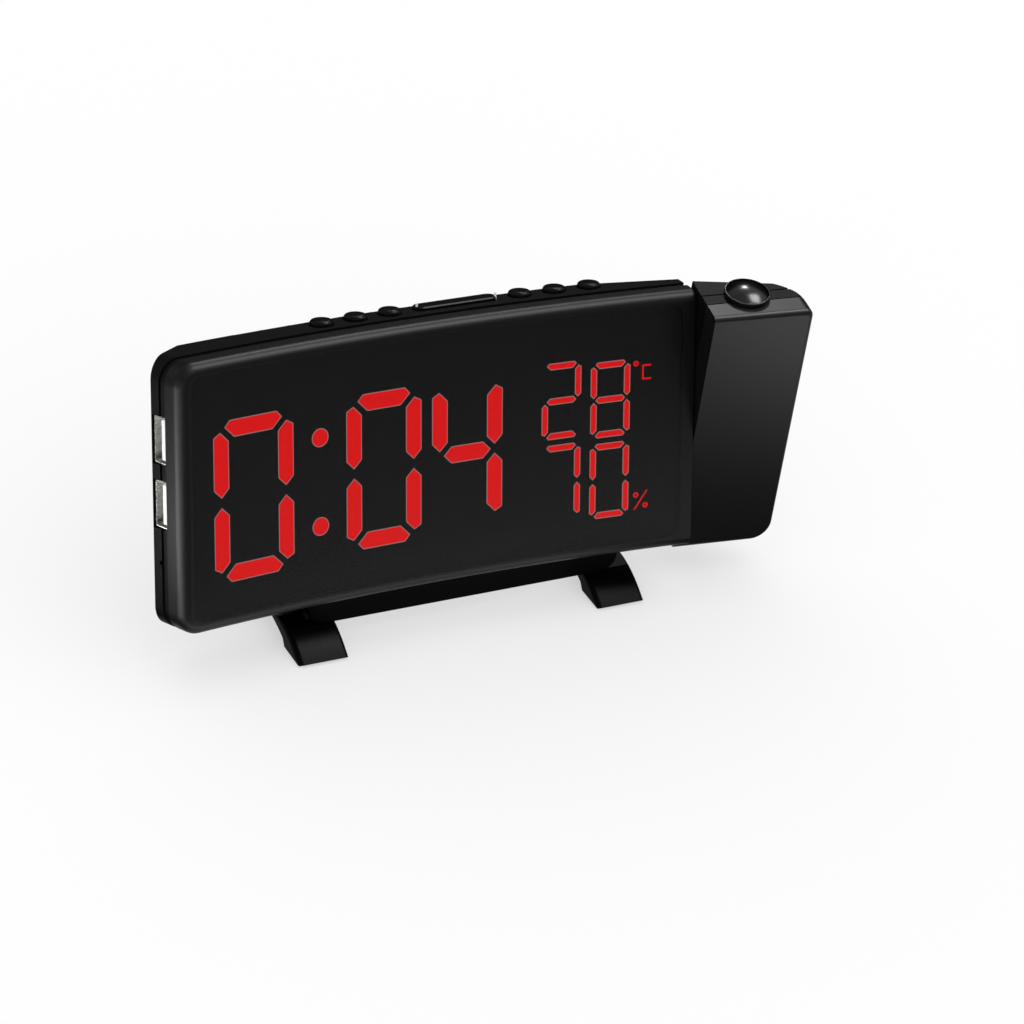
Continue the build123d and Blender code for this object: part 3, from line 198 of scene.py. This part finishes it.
def dark_card(name, place, aim, width, height):
    """A black studio card that only reflections see; it takes no light from the object."""
    card_bm = bmesh.new()
    bmesh.ops.create_grid(card_bm, x_segments=1, y_segments=1, size=0.5)
    card = new_object(name, card_bm)
    card.matrix_world = turned(place, aim, "Z") @ Matrix.Diagonal((width, height, 1, 1))
    card.visible_camera = card.visible_diffuse = card.visible_shadow = False
    card.visible_transmission = False
    card.data.materials.append(black_card)


# Two standing cards, behind the clock and in front of it, and three lying on the table.
dark_card("back_card", (0.6, 1.1, 0.45), (0, 0, 0.45), 2.6, 0.9)
# Painted shade: the small card before the pod stands in for the clock's shadow on the table,
# which the pod's front mirrors.
dark_card("pod_shadow_card", (0.115, -0.06, 0.001), (0.115, -0.06, 1.0), 0.09, 0.08)
dark_card("side_card", (-0.32, 0.02, 0.001), (-0.32, 0.02, 1.0), 0.44, 0.52)
dark_card("floor_card", (0.45, 0.53, 0.001), (0.45, 0.53, 1.0), 2.0, 0.98)
dark_card("front_card", (0.62, -1.1, 0.35), (0, 0, 0.35), 1.2, 0.7)


# ------------------------------------------------------------------ case
# Front shell, back shell, the pod's collar and the battery cap: injection moulded black ABS
# with a fine spark-eroded texture. Four screws from the back close the shells.
def moulded_plastic(name, colour, shade, roughness, ior, grain_mm, grain_depth_mm):
    """Moulded plastic: two close shades in large soft patches and a fine grain."""
    patches_per_metre, sheen_spread = 40.0, 0.05
    made = new_material(name)
    tree = made.node_tree
    place = add(tree, "ShaderNodeTexCoord").outputs["Object"]
    patches = add(
        tree, "ShaderNodeTexNoise", {"Vector": place, "Scale": patches_per_metre, "Detail": 3.0}
    )
    grain = add(
        tree, "ShaderNodeTexNoise", {"Vector": place, "Scale": 1000 / grain_mm, "Detail": 2.0}
    )
    shades = add(
        tree,
        "ShaderNodeMix",
        {"Factor": patches.outputs["Fac"], "A": linear(colour), "B": linear(shade)},
        data_type="RGBA",
    )
    sheen = add(
        tree,
        "ShaderNodeMapRange",
        {
            "Value": grain.outputs["Fac"],
            "To Min": roughness - sheen_spread,
            "To Max": roughness + sheen_spread,
        },
    )
    bump = add(
        tree,
        "ShaderNodeBump",
        {"Height": grain.outputs["Fac"], "Distance": grain_depth_mm / 1000, "Strength": 1.0},
    )
    body = add(
        tree,
        "ShaderNodeBsdfPrincipled",
        {
            "Base Color": shades.outputs["Result"],
            "Roughness": sheen.outputs[0],
            "IOR": ior,
            "Normal": bump.outputs[0],
        },
    )
    add(tree, "ShaderNodeOutputMaterial", {"Surface": body.outputs[0]})
    return made


def dress(material, *names):
    """Gives CAD nodes their material."""
    for name in names:
        mesh = nodes[name].data
        mesh.materials.clear()
        mesh.materials.append(material)


# Satin black ABS: a black skin whose fine grain spreads the light into soft bands on the edges.
black_abs = moulded_plastic(
    "black_moulded_abs", "#070707", "#090909",
    roughness=0.44, ior=1.19, grain_mm=0.35, grain_depth_mm=0.002,
)
dress(black_abs, "front_bezel")
# Matt black ABS, with a deeper grain: a duller and blacker back than the front.
matt_abs = moulded_plastic(
    "matt_black_abs", "#060606", "#080808",
    roughness=0.5, ior=1.12, grain_mm=0.35, grain_depth_mm=0.004,
)
dress(matt_abs, "back_shell", "pivot_collar", "battery_cap")

# ------------------------------------------------------------------ display window
# Smoked acrylic sheet with a matt coat, bent to the hollow face and let in flush with the
# front shell's border.
window_alpha = 0.7          # dark tint: three tenths of the light gets through either face
# Matt smoked acrylic: a dark grey face that looks like the border and hides what isn't lit.
smoked_acrylic = moulded_plastic(
    "smoked_acrylic", "#0a0a0a", "#0c0c0c",
    roughness=0.44, ior=1.215, grain_mm=0.35, grain_depth_mm=0.002,
)
window_shader = next(
    n for n in smoked_acrylic.node_tree.nodes if n.type == "BSDF_PRINCIPLED"
)
window_shader.inputs["Alpha"].default_value = window_alpha
dress(smoked_acrylic, "display_window")

# ------------------------------------------------------------------ display
# Black light box behind the window, and the diffusers pressed into its wells: red translucent
# acrylic, lit from behind by one LED each, and smoky grey where the LED is off.
# Grained black ABS, a dull dark ground without reflections, painted lighter than the window's
# colour as painted light that makes up for the shade the window casts on it.
mask_black_lightened = moulded_plastic(
    "mask_black_abs_painted_light", "#141414", "#161616",
    roughness=0.46, ior=1.38, grain_mm=0.35, grain_depth_mm=0.002,
)
dress(mask_black_lightened, "display_lightbox")

# A segment's light is set so that this level is left after both faces of the window.
level_outside = 0.83
level_inside = level_outside / (1 - window_alpha) ** 2


def lit_acrylic(material, base, glow):
    """A diffuser lit from behind, almost without a reflection of its own."""
    tree = material.node_tree
    shader = add(
        tree,
        "ShaderNodeBsdfPrincipled",
        {
            "Base Color": linear(base),
            "Roughness": 0.5,
            "IOR": 1.02,
            "Emission Color": glow,
            "Emission Strength": level_inside,
        },
    )
    add(tree, "ShaderNodeOutputMaterial", {"Surface": shader.outputs[0]})


# Lit red acrylic: an even, saturated red with hardly any haze in it.
haze_per_metre = 150.0
lit_red = new_material("lit_red_acrylic")
red_tree = lit_red.node_tree
red_place = add(red_tree, "ShaderNodeTexCoord").outputs["Object"]
red_haze = add(
    red_tree, "ShaderNodeTexNoise", {"Vector": red_place, "Scale": haze_per_metre, "Detail": 2.0}
)
red_shades = add(
    red_tree,
    "ShaderNodeMix",
    {"Factor": red_haze.outputs["Fac"], "A": linear("#e00408"), "B": linear("#e40609")},
    data_type="RGBA",
)
lit_acrylic(lit_red, "#200000", red_shades.outputs["Result"])
# Cut edge of the acrylic: a thin greyish pink line round each large segment.
rim_pink = new_material("lit_edge_acrylic")
lit_acrylic(rim_pink, "#201010", linear("#9a6a6a"))

rim_width = 0.00027
signs_start = 0.0472        # the small signs to the right of this line have no rim
body_lean = radians(20)     # the clock's face leans back by this angle
face_forward = Vector((0, -cos(body_lean), sin(body_lean)))
forward_cosine = 0.8        # faces turned forward at least this much are fronts
merge_distance = 1e-6
lit_bm = bmesh.new()
lit_bm.from_mesh(nodes["lit_segments"].data)
lit_bm.transform(nodes["lit_segments"].matrix_world)
bmesh.ops.remove_doubles(lit_bm, verts=lit_bm.verts, dist=merge_distance)
for face in lit_bm.faces:
    face.normal_update()
fronts = [
    face
    for face in lit_bm.faces
    if face.normal.dot(face_forward) > forward_cosine
    and face.calc_center_median().x < signs_start
]
rims = bmesh.ops.inset_region(
    lit_bm, faces=fronts, thickness=rim_width, use_boundary=True, use_even_offset=True
)
for face in rims["faces"]:
    face.material_index = 1
lit_diffusers = new_object("lit_diffusers", lit_bm)
lit_diffusers.data.materials.append(lit_red)
lit_diffusers.data.materials.append(rim_pink)
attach(lit_diffusers, "clock")
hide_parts("lit_segments")

# Smoky acrylic with no light behind it, painted as light as the light box for the same painted
# light against the window's shade, so it can't be told from the box round it.
unlit_grey_lightened = moulded_plastic(
    "unlit_smoky_acrylic_painted_light", "#141414", "#161616",
    roughness=0.46, ior=1.38, grain_mm=0.4, grain_depth_mm=0.002,
)
dress(unlit_grey_lightened, "dark_segments")

# ------------------------------------------------------------------ keys
# Six domed keys and the snooze bar, moulded in black ABS. They go in from below and their
# flanges stop against the top wall; a small raised white block near either end of the bar is a
# painted highlight for a glint there.
# Smooth black ABS: a small sharp highlight on each dome.
smooth_abs = moulded_plastic(
    "smooth_black_abs", "#060606", "#080808",
    roughness=0.34, ior=1.15, grain_mm=0.6, grain_depth_mm=0.001,
)
dress(smooth_abs, "snooze_bar", *(f"key_{number}" for number in range(1, 7)))

# Painted highlight: two white specks on the black bar that stand in for glints at its ends.
glint_white_paint = moulded_plastic(
    "white_painted_glint", "#eeeeec", "#f6f6f4",
    roughness=0.5, ior=1.4, grain_mm=0.2, grain_depth_mm=0.003,
)
clock_origin = (-0.01536, -0.0256, 0.01914)     # middle of the case's front bottom edge
clock_frame = Matrix.Translation(clock_origin) @ Matrix.Rotation(-body_lean, 4, "X")
tick_size = (0.00045, 0.0007, 0.0020)
tick_round = 0.0001
snooze_top = 0.0770
tick_places = ((0.0020, 0.0203), (0.0268, 0.0196))
tick_bm = bmesh.new()
for across, back in tick_places:
    made = bmesh.ops.create_cube(tick_bm, size=1.0)
    bmesh.ops.scale(tick_bm, verts=made["verts"], vec=tick_size)
    bmesh.ops.translate(tick_bm, verts=made["verts"], vec=(across, back, snooze_top))
bmesh.ops.bevel(
    tick_bm, geom=tick_bm.edges[:], affect="EDGES", offset=tick_round, segments=2, profile=0.5
)
tick_bm.transform(clock_frame)
snooze_glint_marks = new_object("snooze_glint_marks", tick_bm)
snooze_glint_marks.data.materials.append(glint_white_paint)
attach(snooze_glint_marks, "snooze_bar")

# ------------------------------------------------------------------ stand
# Cross bar and two arched feet, moulded in black ABS and screwed together and to the case,
# with a rubber pad let in under each toe and heel.
# Smooth black ABS: deep black feet with a soft light along the arch.
gloss_abs = moulded_plastic(
    "gloss_black_abs", "#030303", "#050505",
    roughness=0.36, ior=1.09, grain_mm=0.8, grain_depth_mm=0.002,
)
dress(gloss_abs, "left_foot", "right_foot")
# Black ABS coloured the darkest piece as painted shade for the dark under the case, with almost
# no sheen.
bar_abs_painted_shade = moulded_plastic(
    "dark_bar_abs_painted_shade", "#020202", "#030303",
    roughness=0.4, ior=1.06, grain_mm=0.8, grain_depth_mm=0.002,
)
dress(bar_abs_painted_shade, "stand_bar")
# Black rubber: dull and slightly greyer than the plastic.
pad_rubber = moulded_plastic(
    "black_rubber", "#151515", "#1a1a1a",
    roughness=0.8, ior=1.3, grain_mm=0.3, grain_depth_mm=0.01,
)
dress(pad_rubber, "foot_pads")

# ------------------------------------------------------------------ pod
# Projector pod of black ABS, in a front and a rear shell that screws close. Its hub turns in
# the case's collar, and a focus ring with a domed lens stands on its top.
# Satin black ABS whose colour is painted a shade greyer than the case's, as painted light for
# the pod's brighter front; the lamps give the soft light down it.
pod_abs_painted_light = moulded_plastic(
    "pod_black_abs_painted_light", "#0b0b0b", "#0d0d0d",
    roughness=0.40, ior=1.24, grain_mm=0.35, grain_depth_mm=0.002,
)
dress(pod_abs_painted_light, "pod_front_shell")
dress(matt_abs, "pod_rear_shell")
# Smooth black ABS: a thin light line round the ring.
lens_black = moulded_plastic(
    "lens_ring_black", "#070707", "#090909",
    roughness=0.3, ior=1.25, grain_mm=0.5, grain_depth_mm=0.001,
)
dress(lens_black, "lens_ring")
# Polished dark acrylic: a black dome with one pale spot of light.
lens_gloss = moulded_plastic(
    "lens_dark_acrylic", "#030303", "#040404",
    roughness=0.24, ior=1.3, grain_mm=1.5, grain_depth_mm=0.0005,
)
dress(lens_gloss, "lens_dome")


# ------------------------------------------------------------------ metal and inside pieces
# Socket shells, screws, speaker, battery, circuit boards and the pieces inside the pod: plated
# steel, nylon, lacquered board and moulded epoxy, held by screws, pins and clips.
def plated_metal(name, colour, roughness):
    """Plated steel with fine rolling marks along one direction."""
    marks_per_metre, sheen_spread = (200.0, 3000.0, 3000.0), 0.06
    made = new_material(name)
    tree = made.node_tree
    place = add(tree, "ShaderNodeTexCoord").outputs["Object"]
    stretch = add(tree, "ShaderNodeMapping", {"Vector": place, "Scale": marks_per_metre})
    marks = add(tree, "ShaderNodeTexNoise", {"Vector": stretch.outputs[0], "Scale": 1.0})
    sheen = add(
        tree,
        "ShaderNodeMapRange",
        {
            "Value": marks.outputs["Fac"],
            "To Min": roughness - sheen_spread,
            "To Max": roughness + sheen_spread,
        },
    )
    body = add(
        tree,
        "ShaderNodeBsdfPrincipled",
        {"Base Color": linear(colour), "Metallic": 1.0, "Roughness": sheen.outputs[0]},
    )
    add(tree, "ShaderNodeOutputMaterial", {"Surface": body.outputs[0]})
    return made


# Nickel plate: bright, slightly warm metal that shows the white room in the sockets.
nickel = plated_metal("nickel_plated_steel", "#c9c9c6", 0.28)
dress(
    nickel,
    "usb_socket_upper",
    "usb_socket_lower",
    "speaker_frame",
    "backup_battery",
    "battery_contact",
)
# Clear zinc plate: a duller, bluish grey metal.
zinc = plated_metal("zinc_plated_steel", "#9a9c9e", 0.35)
dress(zinc, "board_screws", "retaining_clip")
# Black zinc plate: screw heads that hardly stand out from the black plastic.
black_zinc = plated_metal("black_zinc_plated_steel", "#141414", 0.4)
dress(black_zinc, "case_screws", "pod_screws", "body_screws", "foot_screws")
# White nylon: a plain milky white.
white_nylon = moulded_plastic(
    "white_nylon", "#f0f0ee", "#f6f6f4",
    roughness=0.4, ior=1.5, grain_mm=0.5, grain_depth_mm=0.003,
)
dress(white_nylon, "usb_tongues", "friction_washer", "segment_leds", "projector_led")
# Lacquered circuit board: dark green with a soft gloss.
green_board = moulded_plastic(
    "green_board_lacquer", "#0d3f22", "#11492a",
    roughness=0.35, ior=1.5, grain_mm=1.2, grain_depth_mm=0.004,
)
dress(green_board, "display_board", "main_board", "key_board", "usb_board", "projector_board")
# Moulded epoxy and other filled plastics: a dull charcoal black.
chip_black = moulded_plastic(
    "moulded_epoxy", "#161616", "#1b1b1b",
    roughness=0.6, ior=1.4, grain_mm=0.3, grain_depth_mm=0.006,
)
dress(
    chip_black,
    "control_chips",
    "key_switches",
    "humidity_sensor",
    "dc_inlet",
    "speaker_cone",
    "pod_hub",
    "light_tunnel",
    "projector_lcd",
)
